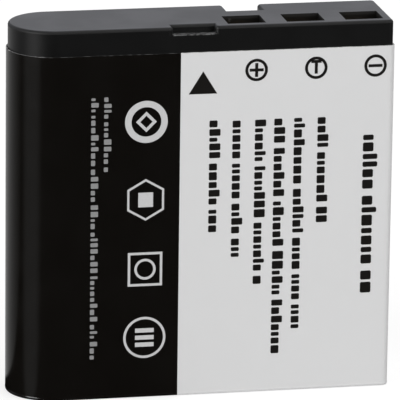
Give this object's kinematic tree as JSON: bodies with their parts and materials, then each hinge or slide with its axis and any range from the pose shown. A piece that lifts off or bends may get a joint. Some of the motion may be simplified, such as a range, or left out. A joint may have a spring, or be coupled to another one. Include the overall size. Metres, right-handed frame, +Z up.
{
  "type": "camera battery",
  "caption": "Flat rechargeable camera battery pack with one round side, a film label and a notched cap with recessed contact windows.",
  "frame": {"origin": "centre of the base that the pack stands on", "axes": "+Z up towards the contacts, +X towards the square side, -Y out of the printed face"},
  "size_m": [0.0384, 0.0094, 0.038],
  "materials": {
    "label_film": "glossy printed film, black with a pale grey field on the square side",
    "case_plastic": "fine moulded",
    "cap_plastic": "satin moulded",
    "contact_plate": "gold plated",
    "board_laminate": "solder mask",
    "chip_resin": "moulded resin with tinned leads",
    "chip_ceramic": "plain, with tinned ends",
    "tab_nickel": "rolled nickel",
    "insulator_card": "plain",
    "cell_can": "drawn",
    "gasket_resin": "natural",
    "pad_foam": "closed-cell foam",
    "tape_sheet": "non-woven tape"
  },
  "bodies": {
    "root": {"label_wrap": "label_film", "case": "case_plastic", "terminal_cap": "cap_plastic", "positive_contact": "contact_plate", "sensor_contact": "contact_plate", "negative_contact": "contact_plate", "circuit_board": "board_laminate", "protection_chip": "chip_resin", "mosfet_pair": "chip_resin", "thermistor": "chip_ceramic", "chip_capacitor": "chip_ceramic", "chip_resistors": "chip_ceramic", "positive_tab": "tab_nickel", "negative_tab": "tab_nickel", "lid_insulator": "insulator_card", "cell": "cell_can", "cell_gasket": "gasket_resin", "cell_rivet": "tab_nickel", "base_pad": "pad_foam", "front_tape": "tape_sheet", "rear_tape": "tape_sheet"}
  },
  "joints": []
}
